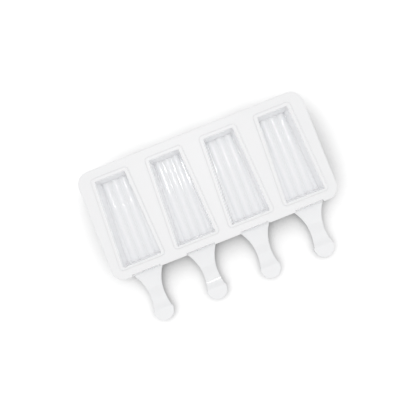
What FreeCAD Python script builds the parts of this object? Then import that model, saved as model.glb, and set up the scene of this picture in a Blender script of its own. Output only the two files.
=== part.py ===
# Silicone mould for four cakesicle bars, moulded in one piece.
# A thin plate carries four tapered cups, each with three ridges on its floor.
# Behind each cup a grip block holds the stick, and a tongue supports it outside.
# X runs along the row of cups, the tongues point to -Y and Z is up.
# The origin is in the middle of the footprint, level with the underside of the cups.
import FreeCAD, Part
import math
import os
import re
import Sketcher

V = FreeCAD.Vector

# Driving dimensions in millimetres, and angles in degrees.
SIZES = {
    # Plate
    "plate_thickness": 2.2,
    "plate_corner_radius": 13.0,
    "plate_edge_bevel": 0.6,
    "plate_end_margin": 13.2,
    "plate_far_margin": 13.0,
    "plate_near_margin": 11.9,
    # Cavities
    "cavity_count": 4,
    "cavity_pitch": 60.2,
    "mouth_far_width": 32.8,
    "mouth_near_width": 42.0,
    "mouth_length": 93.6,
    "mouth_corner_radius": 1.0,
    "cavity_depth": 20.5,
    "wall_draft": 6.3,
    "wall_thickness": 2.0,
    "floor_thickness": 2.0,
    "cup_foot_radius": 1.5,
    # Raised rim round each mouth
    "rim_side_width": 4.0,
    "rim_far_width": 3.8,
    "rim_near_width": 2.4,
    "rim_height": 1.1,
    "rim_corner_radius": 4.0,
    "rim_edge_bevel": 0.8,
    "mouth_edge_bevel": 0.3,
    # Ridges on each cavity's floor
    "ridge_count": 3,
    "ridge_height": 1.8,
    "ridge_valley": 1.0,
    "ridge_clearance": 0.16,
    # Recess in the plate's edge at each tongue
    "recess_depth": 2.4,
    "recess_inner_width": 29.9,
    "recess_outer_width": 31.8,
    # Stick, its clearance and the block that grips it
    "stick_width": 11.0,
    "stick_thickness": 2.0,
    "slot_clearance": 0.3,
    "grip_margin": 0.5,
    "grip_draft": 7.0,
    # Tongue, with distances measured outwards from the recess
    "tongue_depth": 13.5,
    "tongue_thickness": 3.2,
    "tongue_edge_bevel": 0.5,
    "neck_width": 15.5,
    "neck_distance": 29.0,
    "flare_radius": 46.0,
    "waist_radius": 58.0,
    "tip_radius": 10.8,
    "tip_distance": 47.1,
    "dip_start": 21.0,
    "dip_setback": 2.5,
    "dip_depth": 2.0,
}

# Sizes and places worked out from them, as expressions.
FIRST_X = "(-(cavity_count - 1) * cavity_pitch / 2)"
PLATE_LENGTH = f"(mouth_near_width + 2 * plate_end_margin - 2 * {FIRST_X})"
PLATE_WIDTH = "(plate_far_margin + mouth_length + plate_near_margin)"
FAR_EDGE = f"(({PLATE_WIDTH} - recess_depth + tip_distance + tip_radius) / 2)"
NEAR_EDGE = f"({FAR_EDGE} - {PLATE_WIDTH})"
RECESS_Y = f"({NEAR_EDGE} + recess_depth)"
MOUTH_FAR_Y = f"({FAR_EDGE} - plate_far_margin)"
MOUTH_NEAR_Y = f"({NEAR_EDGE} + plate_near_margin)"
PLATE_TOP = "(floor_thickness + cavity_depth)"
PLATE_BOTTOM = f"({PLATE_TOP} - plate_thickness)"
TONGUE_TOP = f"({PLATE_TOP} - tongue_depth)"
TONGUE_BOTTOM = f"({TONGUE_TOP} - tongue_thickness)"
RIM_TOP = f"({PLATE_TOP} + rim_height)"
CAVITY_REACH = "(cavity_depth + rim_height)"
CAVITY_INSET = f"({CAVITY_REACH} * tan(wall_draft * 1 deg))"
RIDGE_PITCH = f"((mouth_far_width - 2 * ({CAVITY_INSET} + ridge_clearance) + ridge_valley) / ridge_count)"
RIDGE_WIDTH = f"({RIDGE_PITCH} - ridge_valley)"
RIDGE_RADIUS = f"(({RIDGE_WIDTH} ^ 2 / 4 + ridge_height ^ 2) / (2 * ridge_height))"
RIDGE_EMBED = "(wall_thickness / 3)"
SLOT_HEIGHT = "(stick_thickness + 2 * slot_clearance)"
SLOT_WIDTH = "(stick_width + 2 * slot_clearance)"
FLARE = "(flare_radius - sqrt(flare_radius ^ 2 - neck_distance ^ 2))"
GRIP_WIDTH = f"(neck_width + 2 * {FLARE} + 2 * grip_margin)"
GRIP_LENGTH = f"({MOUTH_NEAR_Y} - wall_thickness / 2 - {RECESS_Y})"
GRIP_HEIGHT = "(tongue_depth + tongue_thickness)"
FRONT_LEAN = f"({GRIP_HEIGHT} * tan(grip_draft * 1 deg))"
BACK_LEAN = f"({GRIP_HEIGHT} * tan(wall_draft * 1 deg))"
SLOT_RUN = f"({MOUTH_NEAR_Y} + {CAVITY_INSET} - {RECESS_Y} + {FRONT_LEAN})"
DIP_END = "(tip_distance - dip_setback)"
DIP_RADIUS = f"((({DIP_END} - dip_start) ^ 2 / 4 + dip_depth ^ 2) / (2 * dip_depth))"

doc = FreeCAD.newDocument("cakesicle_mould")
sheet = doc.addObject("Spreadsheet::Sheet", "Dimensions")
for line, (alias, number) in enumerate(SIZES.items(), start=1):
    sheet.set(f"A{line}", alias)
    sheet.set(f"B{line}", str(number))
    sheet.setAlias(f"B{line}", alias)
doc.recompute()

body = doc.addObject("PartDesign::Body", "silicone_mould")
body.Label = "silicone_mould"


def from_sheet(text):
    """Write each size's name in an expression as a cell of the sheet."""
    return re.sub(r"[a-z_]+", lambda m: "Dimensions." + m[0] if m[0] in SIZES else m[0], text)


def bind(thing, name, text):
    """Tie a property to an expression."""
    thing.setExpression(name, from_sheet(text))


def size(text):
    """The value of an expression, in the sheet's own numbers."""
    found = sheet.evalExpression(from_sheet(text))
    return getattr(found, "Value", found)


def origin_item(role):
    """One of the body's own planes or axes."""
    return next(item for item in body.Origin.OriginFeatures if item.Role == role)


def new_sketch(name, role, x="0", y="0", z="0"):
    """A sketch on one of the body's own planes, moved by x, y and z in that plane's frame."""
    sketch = body.newObject("Sketcher::SketchObject", name)
    sketch.AttachmentSupport = (origin_item(role), [""])
    sketch.MapMode = "FlatFace"
    bind(sketch, "AttachmentOffset.Base.x", x)
    bind(sketch, "AttachmentOffset.Base.y", y)
    bind(sketch, "AttachmentOffset.Base.z", z)
    return sketch


def measure(sketch, name, kind, places, text):
    """A dimension on a sketch, bound to the sheet."""
    number = sketch.addConstraint(Sketcher.Constraint(kind, *places, size(text)))
    sketch.renameConstraint(number, name)
    bind(sketch, f"Constraints.{name}", text)


def chain(sketch, points):
    """Lines from point to point, closed, with their ends joined."""
    first = sketch.GeometryCount
    count = len(points)
    for i, point in enumerate(points):
        sketch.addGeometry(Part.LineSegment(V(*point, 0), V(*points[(i + 1) % count], 0)))
    for i in range(count):
        following = first + (i + 1) % count
        sketch.addConstraint(Sketcher.Constraint("Coincident", first + i, 2, following, 1))


def trapezoid(name, x, y, z, far_width, near_width, length, corner=None):
    """A symmetric trapezoid that runs from its far side at y towards -Y, with rounded corners."""
    sketch = new_sketch(name, "XY_Plane", x, y, z)
    far_x = size(far_width) / 2
    near_x = size(near_width) / 2
    near_y = -size(length)
    chain(sketch, [(-far_x, 0), (far_x, 0), (near_x, near_y), (-near_x, near_y)])
    for side in (0, 2):
        sketch.addConstraint(Sketcher.Constraint("Symmetric", side, 1, side, 2, -2))
    sketch.addConstraint(Sketcher.Constraint("PointOnObject", 0, 1, -1))
    measure(sketch, "far_side", "DistanceX", (0, 1, 0, 2), far_width)
    measure(sketch, "near_side", "DistanceX", (2, 2, 2, 1), near_width)
    measure(sketch, "run", "DistanceY", (2, 1, 0, 2), length)
    if corner:
        round_corners(sketch, corner)
    return sketch


def round_corners(sketch, radius):
    """Round the four corners of a trapezoid, whose sizes stay those of its sharp corners."""
    for side in range(4):
        sketch.fillet(side, 2, size(radius), True, True)
    arcs = [i for i, item in enumerate(sketch.Geometry) if item.TypeId == "Part::GeomArcOfCircle"]
    measure(sketch, "corner", "Radius", (arcs[0],), radius)
    for other in arcs[1:]:
        sketch.addConstraint(Sketcher.Constraint("Equal", arcs[0], other))


def extrude(kind, name, sketch, length, reversed_=False, symmetric=False):
    """A Pad or a Pocket of a sketch."""
    feature = body.newObject(f"PartDesign::{kind}", name)
    feature.Profile = sketch
    feature.SideType = "Symmetric" if symmetric else "One side"
    feature.Reversed = reversed_
    bind(feature, "Length", length)
    doc.recompute()
    return feature


def repeat(name, originals):
    """The same features for every cavity."""
    pattern = body.newObject("PartDesign::LinearPattern", name)
    pattern.Originals = originals
    pattern.Direction = (origin_item("X_Axis"), [""])
    pattern.Mode = "Spacing"
    bind(pattern, "Offset", "cavity_pitch")
    bind(pattern, "Occurrences", "cavity_count")
    body.Tip = pattern
    doc.recompute()


def draft(name, outer, walls, neutral):
    """Lean the walls that one test picks out, about the level face that the other one finds."""
    base = body.Tip
    faces = list(enumerate(base.Shape.Faces, start=1))
    feature = body.newObject("PartDesign::Draft", name)
    feature.Base = (base, [f"Face{i}" for i, face in faces if walls(face)])
    feature.NeutralPlane = (base, [next(f"Face{i}" for i, face in faces if neutral(face))])
    feature.Reversed = outer
    bind(feature, "Angle", "wall_draft")
    doc.recompute()


def soften(kind, name, amount, chosen):
    """A Fillet or a Chamfer on the edges that the test picks out."""
    base = body.Tip
    names = [f"Edge{i}" for i, edge in enumerate(base.Shape.Edges, start=1) if chosen(edge)]
    feature = body.newObject(f"PartDesign::{kind}", name)
    feature.Base = (base, names)
    bind(feature, "Radius" if kind == "Fillet" else "Size", amount)
    doc.recompute()


def arc(sketch, centre, radius, start, end):
    """An arc that turns from its start point to its end point, anticlockwise."""
    circle = Part.Circle(V(*centre, 0), V(0, 0, 1), radius)
    angles = [math.atan2(point[1] - centre[1], point[0] - centre[0]) for point in (start, end)]
    return sketch.addGeometry(Part.ArcOfCircle(circle, *angles))


# Plate
plate_sketch = trapezoid(
    "plate_sketch", "0", FAR_EDGE, PLATE_BOTTOM,
    PLATE_LENGTH, PLATE_LENGTH, PLATE_WIDTH, "plate_corner_radius",
)
plate = extrude("Pad", "plate", plate_sketch, "plate_thickness")

# Recess in the plate's edge, with slanted ends
recess_sketch = trapezoid(
    "recess_sketch", FIRST_X, RECESS_Y, PLATE_TOP,
    "recess_inner_width", "recess_outer_width", "recess_depth",
)
recess = extrude("Pocket", "recess", recess_sketch, "plate_thickness")

# Cup and its rim
cup_sketch = trapezoid(
    "cup_sketch", FIRST_X, f"{MOUTH_FAR_Y} + wall_thickness", PLATE_TOP,
    "mouth_far_width + 2 * wall_thickness", "mouth_near_width + 2 * wall_thickness",
    "mouth_length + 2 * wall_thickness",
)
cup = extrude("Pad", "cup", cup_sketch, PLATE_TOP, reversed_=True)
rim_sketch = trapezoid(
    "rim_sketch", FIRST_X, f"{MOUTH_FAR_Y} + rim_far_width", PLATE_TOP,
    "mouth_far_width + 2 * rim_side_width", "mouth_near_width + 2 * rim_side_width",
    "mouth_length + rim_far_width + rim_near_width", "rim_corner_radius",
)
rim = extrude("Pad", "rim", rim_sketch, "rim_height")

# Cavity
cavity_sketch = trapezoid(
    "cavity_sketch", FIRST_X, MOUTH_FAR_Y, RIM_TOP,
    "mouth_far_width", "mouth_near_width", "mouth_length",
)
cavity = extrude("Pocket", "cavity", cavity_sketch, CAVITY_REACH)

# Where faces and edges are found
NEAR = 0.01
plate_top = size(PLATE_TOP)
plate_bottom = size(PLATE_BOTTOM)
floor_top = size("floor_thickness")
rim_top = size(RIM_TOP)
tongue_top = size(TONGUE_TOP)
tongue_bottom = size(TONGUE_BOTTOM)
recess_y = size(RECESS_Y)
far_y = size(FAR_EDGE)
near_y = size(NEAR_EDGE)
outer_x = size(PLATE_LENGTH) / 2


def spans(item, low, high):
    """Whether an edge or a face reaches from one height to another."""
    box = item.BoundBox
    return abs(box.ZMin - low) < NEAR and abs(box.ZMax - high) < NEAR


def level(height):
    """A test for faces or edges that lie flat at a height."""
    return lambda item: spans(item, height, height)


# All four cups, and then the draft of their walls, outside and inside
repeat("cup_row", [recess, cup, rim, cavity])
draft("cup_draft", True, lambda face: spans(face, 0, plate_bottom), level(plate_top))
draft("cavity_draft", False, lambda face: spans(face, floor_top, rim_top), level(rim_top))

# Grip block, drawn from the side: its front leans outwards, and its back lies inside the cup's wall
grip_sketch = new_sketch("grip_sketch", "YZ_Plane", RECESS_Y, PLATE_TOP, FIRST_X)
grip_back = size(GRIP_LENGTH)
grip_foot = -size(GRIP_HEIGHT)
foot_back = grip_back + size(BACK_LEAN)
chain(grip_sketch, [(0, 0), (grip_back, 0), (foot_back, grip_foot), (-size(FRONT_LEAN), grip_foot)])
grip_sketch.addConstraint(Sketcher.Constraint("Coincident", 0, 1, -1, 1))
grip_sketch.addConstraint(Sketcher.Constraint("Horizontal", 0))
grip_sketch.addConstraint(Sketcher.Constraint("Horizontal", 2))
measure(grip_sketch, "top", "DistanceX", (0, 1, 0, 2), GRIP_LENGTH)
measure(grip_sketch, "height", "DistanceY", (1, 2, 1, 1), GRIP_HEIGHT)
measure(grip_sketch, "back_lean", "DistanceX", (1, 1, 1, 2), BACK_LEAN)
measure(grip_sketch, "front_lean", "DistanceX", (2, 2, 0, 1), FRONT_LEAN)
grip = extrude("Pad", "grip", grip_sketch, GRIP_WIDTH, symmetric=True)

# Tongue blade, from its flared root through the neck to the end of the dip
blade_sketch = new_sketch("blade_sketch", "XY_Plane", FIRST_X, RECESS_Y, TONGUE_TOP)
flare = size("flare_radius")
waist = size("waist_radius")
neck_x = size("neck_width") / 2
neck_y = -size("neck_distance")
end_y = -size(DIP_END)
flare_x = neck_x + flare
waist_x = neck_x + waist
root_x = flare_x - math.sqrt(flare ** 2 - neck_y ** 2)
end_x = waist_x - math.sqrt(waist ** 2 - (end_y - neck_y) ** 2)
root = blade_sketch.addGeometry(Part.LineSegment(V(-root_x, 0, 0), V(root_x, 0, 0)))
right_flare = arc(blade_sketch, (flare_x, neck_y), flare, (root_x, 0), (neck_x, neck_y))
right_waist = arc(blade_sketch, (waist_x, neck_y), waist, (neck_x, neck_y), (end_x, end_y))
blade_end = blade_sketch.addGeometry(Part.LineSegment(V(end_x, end_y, 0), V(-end_x, end_y, 0)))
left_waist = arc(blade_sketch, (-waist_x, neck_y), waist, (-end_x, end_y), (-neck_x, neck_y))
left_flare = arc(blade_sketch, (-flare_x, neck_y), flare, (-neck_x, neck_y), (-root_x, 0))
for constraint in (
    ("Coincident", root, 2, right_flare, 1),
    ("Tangent", right_flare, 2, right_waist, 1),
    ("Coincident", right_waist, 2, blade_end, 1),
    ("Coincident", blade_end, 2, left_waist, 1),
    ("Tangent", left_waist, 2, left_flare, 1),
    ("Coincident", left_flare, 2, root, 1),
    ("PointOnObject", root, 1, -1),
    ("PointOnObject", root, 2, -1),
    ("Symmetric", right_flare, 2, left_flare, 1, -2),
    ("Horizontal", right_flare, 3, right_flare, 2),
    ("Horizontal", left_flare, 3, left_flare, 1),
    ("Horizontal", blade_end),
    ("Equal", right_flare, left_flare),
    ("Equal", right_waist, left_waist),
):
    blade_sketch.addConstraint(Sketcher.Constraint(*constraint))
measure(blade_sketch, "neck", "DistanceX", (left_flare, 1, right_flare, 2), "neck_width")
measure(blade_sketch, "neck_run", "DistanceY", (right_flare, 2, root, 2), "neck_distance")
measure(blade_sketch, "end_run", "DistanceY", (blade_end, 1, root, 2), DIP_END)
measure(blade_sketch, "flare", "Radius", (right_flare,), "flare_radius")
measure(blade_sketch, "waist", "Radius", (right_waist,), "waist_radius")
blade = extrude("Pad", "blade", blade_sketch, "tongue_thickness", reversed_=True)

# Round tip of the tongue, cut straight where the blade ends
tip_sketch = new_sketch("tip_sketch", "XY_Plane", FIRST_X, RECESS_Y, TONGUE_TOP)
tip_y = -size("tip_distance")
tip_radius = size("tip_radius")
chord_x = math.sqrt(tip_radius ** 2 - (end_y - tip_y) ** 2)
tip_arc = arc(tip_sketch, (0, tip_y), tip_radius, (-chord_x, end_y), (chord_x, end_y))
tip_chord = tip_sketch.addGeometry(Part.LineSegment(V(chord_x, end_y, 0), V(-chord_x, end_y, 0)))
for constraint in (
    ("Coincident", tip_arc, 2, tip_chord, 1),
    ("Coincident", tip_chord, 2, tip_arc, 1),
    ("Horizontal", tip_chord),
    ("PointOnObject", tip_arc, 3, -2),
):
    tip_sketch.addConstraint(Sketcher.Constraint(*constraint))
measure(tip_sketch, "radius", "Radius", (tip_arc,), "tip_radius")
measure(tip_sketch, "centre_run", "DistanceY", (tip_arc, 3, -1, 1), "tip_distance")
measure(tip_sketch, "chord_run", "DistanceY", (tip_chord, 1, -1, 1), DIP_END)
tip = extrude("Pad", "tip", tip_sketch, "tongue_thickness", reversed_=True)

# Ridges along the cavity's floor, in one profile with flat valleys between them
ridge_sketch = new_sketch(
    "ridge_sketch", "XZ_Plane", f"{FIRST_X} - ridge_count * {RIDGE_PITCH} / 2", "floor_thickness",
    f"-({MOUTH_FAR_Y} - {CAVITY_INSET} + {RIDGE_EMBED})",
)
ridge_radius = size(RIDGE_RADIUS)
ridge_y = size("ridge_height") - ridge_radius
half_ridge = size(RIDGE_WIDTH) / 2
ridge_depth = size("floor_thickness") / 2
middles = [(i + 1 / 2) * size(RIDGE_PITCH) for i in range(SIZES["ridge_count"])]
left_x = middles[0] - half_ridge
right_x = middles[-1] + half_ridge
foot = Part.LineSegment(V(left_x, -ridge_depth, 0), V(right_x, -ridge_depth, 0))
foot_line = ridge_sketch.addGeometry(foot)
right_end = ridge_sketch.addGeometry(Part.LineSegment(V(right_x, -ridge_depth, 0), V(right_x, 0, 0)))
outline = [foot_line, right_end]
crests = []
for i, middle in reversed(list(enumerate(middles))):
    ends = ((middle + half_ridge, 0), (middle - half_ridge, 0))
    crest = arc(ridge_sketch, (middle, ridge_y), ridge_radius, *ends)
    crests.insert(0, crest)
    outline.append(crest)
    if i > 0:
        valley = Part.LineSegment(V(middle - half_ridge, 0, 0), V(middles[i - 1] + half_ridge, 0, 0))
        outline.append(ridge_sketch.addGeometry(valley))
left_end = ridge_sketch.addGeometry(Part.LineSegment(V(left_x, 0, 0), V(left_x, -ridge_depth, 0)))
outline.append(left_end)
for here, following in zip(outline, outline[1:] + outline[:1]):
    ridge_sketch.addConstraint(Sketcher.Constraint("Coincident", here, 2, following, 1))
ridge_sketch.addConstraint(Sketcher.Constraint("Horizontal", foot_line))
ridge_sketch.addConstraint(Sketcher.Constraint("Vertical", right_end))
ridge_sketch.addConstraint(Sketcher.Constraint("Vertical", left_end))
measure(ridge_sketch, "embedding", "DistanceY", (foot_line, 1, -1, 1), "floor_thickness / 2")
for i, crest in enumerate(crests):
    ridge_sketch.addConstraint(Sketcher.Constraint("PointOnObject", crest, 1, -1))
    ridge_sketch.addConstraint(Sketcher.Constraint("PointOnObject", crest, 2, -1))
    measure(ridge_sketch, f"place{i}", "DistanceX", (-1, 1, crest, 3), f"({i} + 1 / 2) * {RIDGE_PITCH}")
    measure(ridge_sketch, f"radius{i}", "Radius", (crest,), RIDGE_RADIUS)
    measure(ridge_sketch, f"width{i}", "DistanceX", (crest, 2, crest, 1), RIDGE_WIDTH)
RIDGE_RUN = f"(mouth_length - 2 * {CAVITY_INSET} + 2 * {RIDGE_EMBED})"
ridges = extrude("Pad", "ridges", ridge_sketch, RIDGE_RUN)

# Slot through the grip block, level with the top of the tongue
slot_sketch = new_sketch(
    "slot_sketch", "XZ_Plane", f"{FIRST_X} - {SLOT_WIDTH} / 2", TONGUE_TOP,
    f"-({MOUTH_NEAR_Y} + {CAVITY_INSET})",
)
slot_x = size(SLOT_WIDTH)
slot_y = size(SLOT_HEIGHT)
chain(slot_sketch, [(0, 0), (slot_x, 0), (slot_x, slot_y), (0, slot_y)])
slot_sketch.addConstraint(Sketcher.Constraint("Coincident", 0, 1, -1, 1))
for line, direction in enumerate(("Horizontal", "Vertical", "Horizontal", "Vertical")):
    slot_sketch.addConstraint(Sketcher.Constraint(direction, line))
measure(slot_sketch, "width", "DistanceX", (0, 1, 0, 2), SLOT_WIDTH)
measure(slot_sketch, "height", "DistanceY", (1, 1, 1, 2), SLOT_HEIGHT)
slot = extrude("Pocket", "slot", slot_sketch, SLOT_RUN, reversed_=True)

# What each cup carries, for every cavity
repeat("grip_row", [grip, blade, tip, ridges, slot])


def on_outline(edge):
    """Whether an edge of the plate's upper face lies on its outer sides."""
    box = edge.BoundBox
    on_end = box.XMax > outer_x - NEAR or box.XMin < NEAR - outer_x
    on_side = box.YMax > far_y - NEAR or box.YMin < near_y + NEAR
    return spans(edge, plate_top, plate_top) and (on_end or on_side)


def round_tongue(edge):
    """Whether an edge runs round a tongue, above or below, outside the grip block."""
    outside = edge.BoundBox.YMax < recess_y - NEAR
    return outside and (spans(edge, tongue_top, tongue_top) or spans(edge, tongue_bottom, tongue_bottom))


def round_rim(edge):
    """Whether an edge runs round the outside of a rim's upper face."""
    if not spans(edge, rim_top, rim_top):
        return False
    tops = [face for face in body.Tip.Shape.Faces if spans(face, rim_top, rim_top)]
    return any(edge.isSame(other) for face in tops for other in face.OuterWire.Edges)


def round_mouth(edge):
    """Whether an edge runs round a mouth, on the inside of a rim's upper face."""
    return spans(edge, rim_top, rim_top) and not round_rim(edge)


# Rounded corners and small bevels
CUP_CORNER = "mouth_corner_radius + wall_thickness"
soften("Fillet", "cup_corners", CUP_CORNER, lambda edge: spans(edge, 0, plate_bottom))
soften("Fillet", "mouth_corners", "mouth_corner_radius", lambda edge: spans(edge, floor_top, rim_top))
soften("Fillet", "cup_feet", "cup_foot_radius", level(0))
soften("Chamfer", "mouth_edges", "mouth_edge_bevel", round_mouth)
soften("Chamfer", "rim_edges", "rim_edge_bevel", round_rim)
soften("Chamfer", "plate_edges", "plate_edge_bevel", on_outline)
soften("Chamfer", "tongue_edges", "tongue_edge_bevel", round_tongue)

# Finger dip across the tongue, drawn from the side
dip_sketch = new_sketch("dip_sketch", "YZ_Plane", RECESS_Y, TONGUE_TOP, FIRST_X)
start_y = -size("dip_start")
dip_radius = size(DIP_RADIUS)
dip_centre = ((start_y + end_y) / 2, dip_radius - size("dip_depth"))
dip_arc = arc(dip_sketch, dip_centre, dip_radius, (end_y, 0), (start_y, 0))
dip_chord = dip_sketch.addGeometry(Part.LineSegment(V(start_y, 0, 0), V(end_y, 0, 0)))
for constraint in (
    ("Coincident", dip_arc, 2, dip_chord, 1),
    ("Coincident", dip_chord, 2, dip_arc, 1),
    ("PointOnObject", dip_chord, 1, -1),
    ("PointOnObject", dip_chord, 2, -1),
):
    dip_sketch.addConstraint(Sketcher.Constraint(*constraint))
measure(dip_sketch, "start", "DistanceX", (dip_chord, 1, -1, 1), "dip_start")
measure(dip_sketch, "end", "DistanceX", (dip_chord, 2, -1, 1), DIP_END)
measure(dip_sketch, "radius", "Radius", (dip_arc,), DIP_RADIUS)
dip = extrude("Pocket", "dip", dip_sketch, "2 * tip_radius + neck_width", symmetric=True)

repeat("dip_row", [dip])

# Checks, then the part's file
for item in doc.Objects:
    if "Invalid" in item.State or "Error" in item.State:
        raise RuntimeError(f"{item.Name}: {item.State}")
shape = body.Shape
if shape.isNull() or not shape.isValid() or len(shape.Solids) != 1:
    raise RuntimeError("the mould is not one valid solid")
os.makedirs("parts", exist_ok=True)
shape.exportStep("parts/silicone_mould.step")
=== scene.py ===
# Looks of the silicone cakesicle mould: material, light, floor and camera.
# Lengths are in metres, in the frame of the CAD model.
import bpy
import math
from mathutils import Matrix, Vector


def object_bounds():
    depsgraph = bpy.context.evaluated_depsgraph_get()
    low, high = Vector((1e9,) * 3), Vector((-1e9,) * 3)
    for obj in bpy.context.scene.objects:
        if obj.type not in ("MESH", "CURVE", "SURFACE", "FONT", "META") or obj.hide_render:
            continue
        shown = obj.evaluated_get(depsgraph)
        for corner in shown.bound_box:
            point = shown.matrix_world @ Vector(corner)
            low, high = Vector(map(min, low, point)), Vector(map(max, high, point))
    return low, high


# Photograph: where the camera was, what it was aimed at, and how it was turned.
CAMERA_HEIGHT = 0.640
CAMERA_FOOT = (-0.0005, -0.0153)
AIM = (-0.0076, 0.0060)
ROLL = math.radians(21.6)
FRAME_WIDTH = 0.4285

# Light: the world as the mould gets it and as it is seen, a key lamp, and two lamps that gleam.
WORLD_COLOUR = (1.0, 1.0, 1.0)
WORLD_STRENGTH = 0.79
WORLD_SEEN = 1.0
KEY_STRENGTH = 0.18
KEY_TILT = math.radians(2)
KEY_BEARING = math.radians(105)
KEY_SOFTNESS = math.radians(32)
GLEAM_POWER = 0.70
GLEAM_SIZE = (0.16, 0.028)
GLEAM_HEIGHT = 1.60
GLEAM_PLACES = ((-0.05, 0.245), (-0.03, 0.190))
BOUNCES = 24

# Silicone: colours are linear light. The cavities are glossier than the plate, and their colour is painted
# slightly lighter and cooler, standing in for the cool light in them.
PLATE_COLOUR = (0.970, 0.970, 0.979)
CAVITY_COLOUR_WITH_PAINTED_COOL_LIGHT = (0.972, 0.976, 0.987)
CLOUD_SHADE = 0.992
CLOUD_SCALE = 18.0
CLOUD_DETAIL = 3.0
CLOUD_RANGE = (0.35, 0.65)
PLATE_ROUGHNESS = 0.34
CAVITY_ROUGHNESS = 0.06
GRAIN_SCALE = 1400.0
GRAIN_DETAIL = 2.0
GRAIN_STRENGTH = 0.04
GRAIN_DEPTH = 0.0001
REFRACTION = 1.41
GLOW_WEIGHT = 0.15
GLOW_REACH = (0.95, 1.0, 1.0)
GLOW_DEPTH = 0.0005
# Painted shade: ambient occlusion within a short reach darkens the colour in creases, corners and
# recesses; the last pair is its darkest factor in the cavities and on the plate.
PAINTED_CREASE_REACH = 0.0028
PAINTED_CREASE_RANGE = (0.45, 0.97)
PAINTED_CREASE_SHADE = (0.93, 0.86)
PAINTED_CREASE_SAMPLES = 8
EDGE_SOFTNESS = 0.0004
EDGE_SAMPLES = 6
RIM_HEIGHT = 0.0011
PLATE_SKIN = 0.001

# Floor: its own colour, the colour that is seen, and a shadow painted into its colour close to the mould
# on two sides.
# Each side has the bearing that its light comes from and its darkest painted shade.
FLOOR_COLOUR = (0.80, 0.80, 0.80)
FLOOR_SEEN = (1.0, 1.0, 1.0)
FLOOR_GLOW = 0.22
FLOOR_HALF = 3.0
CONTACT = 0.0001
SHADE_REACH = 0.060
SHADE_LEAN = math.radians(40)
SHADE_SIDES = ((math.radians(162), 0.49), (math.radians(35), 0.71))
SHADE_SAMPLES = 8
SHADE_RANGE = (0.2, 0.8)

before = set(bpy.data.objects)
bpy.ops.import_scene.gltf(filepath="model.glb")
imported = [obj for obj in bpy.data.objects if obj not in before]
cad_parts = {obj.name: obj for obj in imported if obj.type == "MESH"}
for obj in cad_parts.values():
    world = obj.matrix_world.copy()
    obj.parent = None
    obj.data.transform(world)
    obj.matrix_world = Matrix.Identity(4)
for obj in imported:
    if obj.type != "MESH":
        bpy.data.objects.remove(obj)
cad_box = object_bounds()
plate_top = Vector(cad_box[1]).z - RIM_HEIGHT


def towards(tilt, bearing):
    """A direction, tilted from straight up towards a bearing."""
    return Vector((
        math.sin(tilt) * math.cos(bearing),
        math.sin(tilt) * math.sin(bearing),
        math.cos(tilt),
    ))


def placed(name, data):
    """A new object in the scene."""
    item = bpy.data.objects.new(name, data)
    bpy.context.scene.collection.objects.link(item)
    return item


class Nodes:
    """The node tree of a material or of the world, with its shader."""

    def __init__(self, owner, shader):
        owner.use_nodes = True
        self.owner = owner
        self.tree = owner.node_tree
        self.shader = self.tree.nodes[shader]

    def add(self, kind, **inputs):
        """A new node with some of its inputs set."""
        node = self.tree.nodes.new(kind)
        for name, value in inputs.items():
            node.inputs[name.replace("_", " ")].default_value = value
        return node

    def link(self, source, output, target, socket):
        """A wire from an output to an input."""
        self.tree.links.new(source.outputs[output], target.inputs[socket])

    def math(self, operation, first, second):
        """A Math node on two outputs, or on an output and a number."""
        node = self.tree.nodes.new("ShaderNodeMath")
        node.operation = operation
        for place, value in enumerate((first, second)):
            if isinstance(value, tuple):
                self.link(*value, node, place)
            else:
                node.inputs[place].default_value = value
        return node

    def blend(self, factor, first, second):
        """A mix of two colours."""
        node = self.tree.nodes.new("ShaderNodeMixRGB")
        self.link(*factor, node, "Fac")
        node.inputs["Color1"].default_value = (*first, 1)
        node.inputs["Color2"].default_value = (*second, 1)
        return node

    def ramp(self, source, output, **inputs):
        """A Map Range node on an output."""
        node = self.add("ShaderNodeMapRange", **inputs)
        self.link(source, output, node, "Value")
        return node

    def scaled(self, colour, factor):
        """A colour times a factor."""
        node = self.tree.nodes.new("ShaderNodeVectorMath")
        node.operation = "SCALE"
        self.link(*colour, node, "Vector")
        self.link(*factor, node, "Scale")
        return node

    def openness(self, reach, samples):
        """How open a point is to its surroundings within a reach."""
        node = self.add("ShaderNodeAmbientOcclusion", Distance=reach)
        node.samples = samples
        return node

    def seen(self):
        """Whether a ray shows a surface to the eye, straight or through gloss or glass."""
        path = self.add("ShaderNodeLightPath")
        mirrored = self.math("MAXIMUM", (path, "Is Glossy Ray"), (path, "Is Transmission Ray"))
        return self.math("MAXIMUM", (path, "Is Camera Ray"), (mirrored, "Value"))


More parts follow.
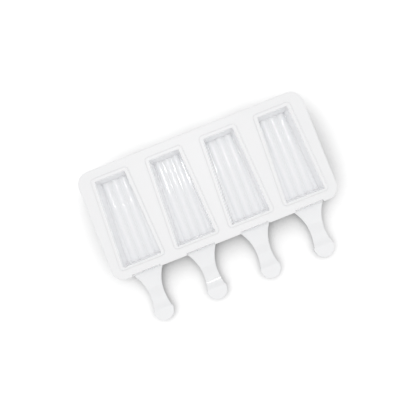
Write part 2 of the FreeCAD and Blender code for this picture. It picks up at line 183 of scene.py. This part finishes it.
def silicone_colour(nodes, place, plate):
    """Plain white on the plate and a painted cool, slightly lighter white in the cavities, faintly
    clouded, with painted shade darkening the creases.
    """
    # Painted light: the cavities get a lighter, cooler copy of the white, for the cool light in them.
    colour = nodes.blend((plate, "Result"), CAVITY_COLOUR_WITH_PAINTED_COOL_LIGHT, PLATE_COLOUR)
    cloud = nodes.add("ShaderNodeTexNoise", Scale=CLOUD_SCALE, Detail=CLOUD_DETAIL)
    nodes.link(place, "Object", cloud, "Vector")
    start, end = CLOUD_RANGE
    shade = nodes.ramp(cloud, "Fac", From_Min=start, From_Max=end, To_Min=CLOUD_SHADE, To_Max=1.0)
    # Painted shade: creases and corners are darkened in the colour by ambient occlusion.
    in_cavity, on_plate = PAINTED_CREASE_SHADE
    darkest_painted_shade = nodes.ramp(plate, "Result", To_Min=in_cavity, To_Max=on_plate)
    start, end = PAINTED_CREASE_RANGE
    crease = nodes.openness(PAINTED_CREASE_REACH, PAINTED_CREASE_SAMPLES)
    painted_crease_darkening = nodes.ramp(crease, "AO", From_Min=start, From_Max=end, To_Max=1.0)
    nodes.link(darkest_painted_shade, "Result", painted_crease_darkening, "To Min")
    both = nodes.math("MULTIPLY", (shade, "Result"), (painted_crease_darkening, "Result"))
    return nodes.scaled((colour, "Color"), (both, "Value"))


def silicone_skin(nodes, place):
    """Softened small edges under a faint moulded grain."""
    edge = nodes.add("ShaderNodeBevel", Radius=EDGE_SOFTNESS)
    edge.samples = EDGE_SAMPLES
    grain = nodes.add("ShaderNodeTexNoise", Scale=GRAIN_SCALE, Detail=GRAIN_DETAIL)
    nodes.link(place, "Object", grain, "Vector")
    bump = nodes.add("ShaderNodeBump", Strength=GRAIN_STRENGTH, Distance=GRAIN_DEPTH)
    nodes.link(grain, "Fac", bump, "Height")
    nodes.link(edge, "Normal", bump, "Normal")
    return bump


def silicone():
    """White food-grade silicone: satin on the plate, glossier in the cavities, slightly translucent."""
    nodes = Nodes(bpy.data.materials.new("silicone"), "Principled BSDF")
    place = nodes.add("ShaderNodeTexCoord")
    height = nodes.add("ShaderNodeSeparateXYZ")
    nodes.link(place, "Object", height, "Vector")
    plate = nodes.ramp(
        height, "Z", From_Min=plate_top - 2 * PLATE_SKIN, From_Max=plate_top - PLATE_SKIN,
    )
    nodes.link(silicone_colour(nodes, place, plate), "Vector", nodes.shader, "Base Color")
    gloss = nodes.ramp(plate, "Result", To_Min=CAVITY_ROUGHNESS, To_Max=PLATE_ROUGHNESS)
    nodes.link(gloss, "Result", nodes.shader, "Roughness")
    nodes.link(silicone_skin(nodes, place), "Normal", nodes.shader, "Normal")
    shader = nodes.shader.inputs
    shader["IOR"].default_value = REFRACTION
    shader["Subsurface Weight"].default_value = GLOW_WEIGHT
    shader["Subsurface Radius"].default_value = GLOW_REACH
    shader["Subsurface Scale"].default_value = GLOW_DEPTH
    return nodes.owner


def painted_side_shadow(nodes, bearing, darkest_painted_shade):
    """A soft shadow painted into the floor's colour, falling away from a bearing as the mould would cast
    it.
    """
    near = nodes.openness(SHADE_REACH, SHADE_SAMPLES)
    lean = nodes.add("ShaderNodeCombineXYZ")
    for axis, value in zip("XYZ", towards(SHADE_LEAN, bearing)):
        lean.inputs[axis].default_value = value
    nodes.link(lean, "Vector", near, "Normal")
    start, end = SHADE_RANGE
    return nodes.ramp(near, "AO", From_Min=start, From_Max=end, To_Min=darkest_painted_shade, To_Max=1.0)


def clear_from_below(nodes):
    """Shows the mould's underside through the floor, and lets light from below reach its resting faces."""
    side = nodes.add("ShaderNodeNewGeometry")
    path = nodes.add("ShaderNodeLightPath")
    touching = nodes.math("LESS_THAN", (path, "Ray Length"), CONTACT)
    open_side = nodes.math("MAXIMUM", (side, "Backfacing"), (touching, "Value"))
    clear = nodes.add("ShaderNodeBsdfTransparent")
    either = nodes.add("ShaderNodeMixShader")
    nodes.link(open_side, "Value", either, "Fac")
    nodes.link(nodes.shader, "BSDF", either, 1)
    nodes.link(clear, "BSDF", either, 2)
    nodes.link(either, "Shader", nodes.tree.nodes["Material Output"], "Surface")


def floor_white():
    """A matt floor that looks pure white in the open, keeps the mould's shadow, and has more shadow
    painted near the mould.
    """
    nodes = Nodes(bpy.data.materials.new("floor_white"), "Principled BSDF")
    seen = nodes.seen()
    colour = nodes.blend((seen, "Value"), FLOOR_COLOUR, FLOOR_SEEN)
    # Painted shadow: the floor's colour and glow darken near the mould, from two leaning occlusion terms.
    first, second = (painted_side_shadow(nodes, bearing, darkest_painted_shade) for bearing, darkest_painted_shade in SHADE_SIDES)
    shade = nodes.math("MULTIPLY", (first, "Result"), (second, "Result"))
    nodes.link(nodes.scaled((colour, "Color"), (shade, "Value")), "Vector", nodes.shader, "Base Color")
    lit = nodes.math("MULTIPLY", (seen, "Value"), FLOOR_GLOW)
    glow = nodes.math("MULTIPLY", (lit, "Value"), (shade, "Value"))
    nodes.link(glow, "Value", nodes.shader, "Emission Strength")
    nodes.shader.inputs["Emission Color"].default_value = (*FLOOR_SEEN, 1)
    nodes.shader.inputs["Roughness"].default_value = 1.0
    nodes.shader.inputs["Specular IOR Level"].default_value = 0.0
    clear_from_below(nodes)
    return nodes.owner


def dress():
    """The silicone material on every CAD node."""
    material = silicone()
    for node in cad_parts.values():
        for place in node.material_slots:
            place.material = material


def floor():
    """A wide floor under the mould."""
    mesh = bpy.data.meshes.new("floor")
    corners = [(x * FLOOR_HALF, y * FLOOR_HALF, 0) for x, y in ((-1, -1), (1, -1), (1, 1), (-1, 1))]
    mesh.from_pydata(corners, [], [(0, 1, 2, 3)])
    mesh.materials.append(floor_white())
    ground = placed("floor", mesh)


def lights():
    """An even white world, a small soft key light, and two small lamps that gleam on the ridges."""
    world = Nodes(bpy.data.worlds.new("world"), "Background")
    world.shader.inputs["Color"].default_value = (*WORLD_COLOUR, 1)
    sky = world.ramp(world.seen(), "Value", To_Min=WORLD_STRENGTH, To_Max=WORLD_SEEN)
    world.link(sky, "Result", world.shader, "Strength")
    bpy.context.scene.world = world.owner
    key = bpy.data.lights.new("key", "SUN")
    key.energy = KEY_STRENGTH
    key.angle = KEY_SOFTNESS
    key_lamp = placed("key", key)
    key_lamp.rotation_euler = towards(KEY_TILT, KEY_BEARING).to_track_quat("Z", "Y").to_euler()
    gleam = bpy.data.lights.new("gleam", "AREA")
    gleam.shape = "RECTANGLE"
    gleam.size, gleam.size_y = GLEAM_SIZE
    gleam.energy = GLEAM_POWER
    for place in GLEAM_PLACES:
        placed("gleam", gleam).location = (*place, GLEAM_HEIGHT)


def camera():
    """The photograph's view: nearly straight down, with the mould's long axis turned up to the right."""
    data = bpy.data.cameras.new("camera")
    eye = Vector((*CAMERA_FOOT, plate_top + CAMERA_HEIGHT))
    target = Vector((*AIM, plate_top))
    back = (eye - target).normalized()
    up = Vector((math.sin(ROLL), math.cos(ROLL), 0))
    right = up.cross(back).normalized()
    up = back.cross(right)
    turn = Matrix((right, up, back)).transposed().to_4x4()
    data.angle = 2 * math.atan(FRAME_WIDTH / 2 / (eye - target).length)
    view = placed("camera", data)
    view.matrix_world = Matrix.Translation(eye) @ turn
    bpy.context.scene.camera = view


dress()
floor()
lights()
camera()
scene = bpy.context.scene
scene.view_settings.view_transform = "Standard"
scene.cycles.max_bounces = BOUNCES
scene.cycles.diffuse_bounces = BOUNCES
